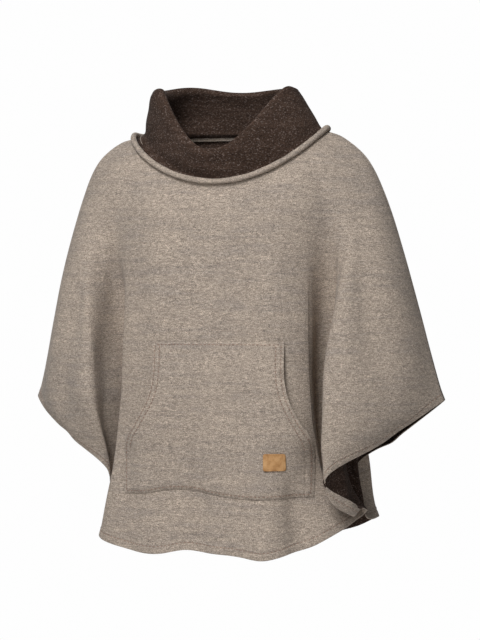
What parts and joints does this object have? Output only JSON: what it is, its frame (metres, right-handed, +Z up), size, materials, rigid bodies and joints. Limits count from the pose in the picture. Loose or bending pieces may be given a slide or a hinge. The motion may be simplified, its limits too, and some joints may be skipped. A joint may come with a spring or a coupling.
{
  "type": "poncho",
  "caption": "Felted wool batwing poncho with a wide funnel collar, a rolled neck binding, a kangaroo pocket and a blank leather tab, filled out as if worn and hollow.",
  "frame": {"origin": "middle of the neck opening at the height of the shoulder points of the neck seam", "axes": "+Z up, the front faces -Y, the wearer's left is +X"},
  "size_m": [0.702, 0.2879, 0.7657],
  "materials": {
    "beige_felt": "felted nap",
    "brown_felt": "felted nap",
    "tan_leather": "satin"
  },
  "bodies": {
    "root": {"front_panel": "beige_felt", "back_panel": "beige_felt", "neck_binding": "beige_felt", "kangaroo_pocket": "beige_felt", "collar": "brown_felt", "leather_tab": "tan_leather"}
  },
  "joints": []
}
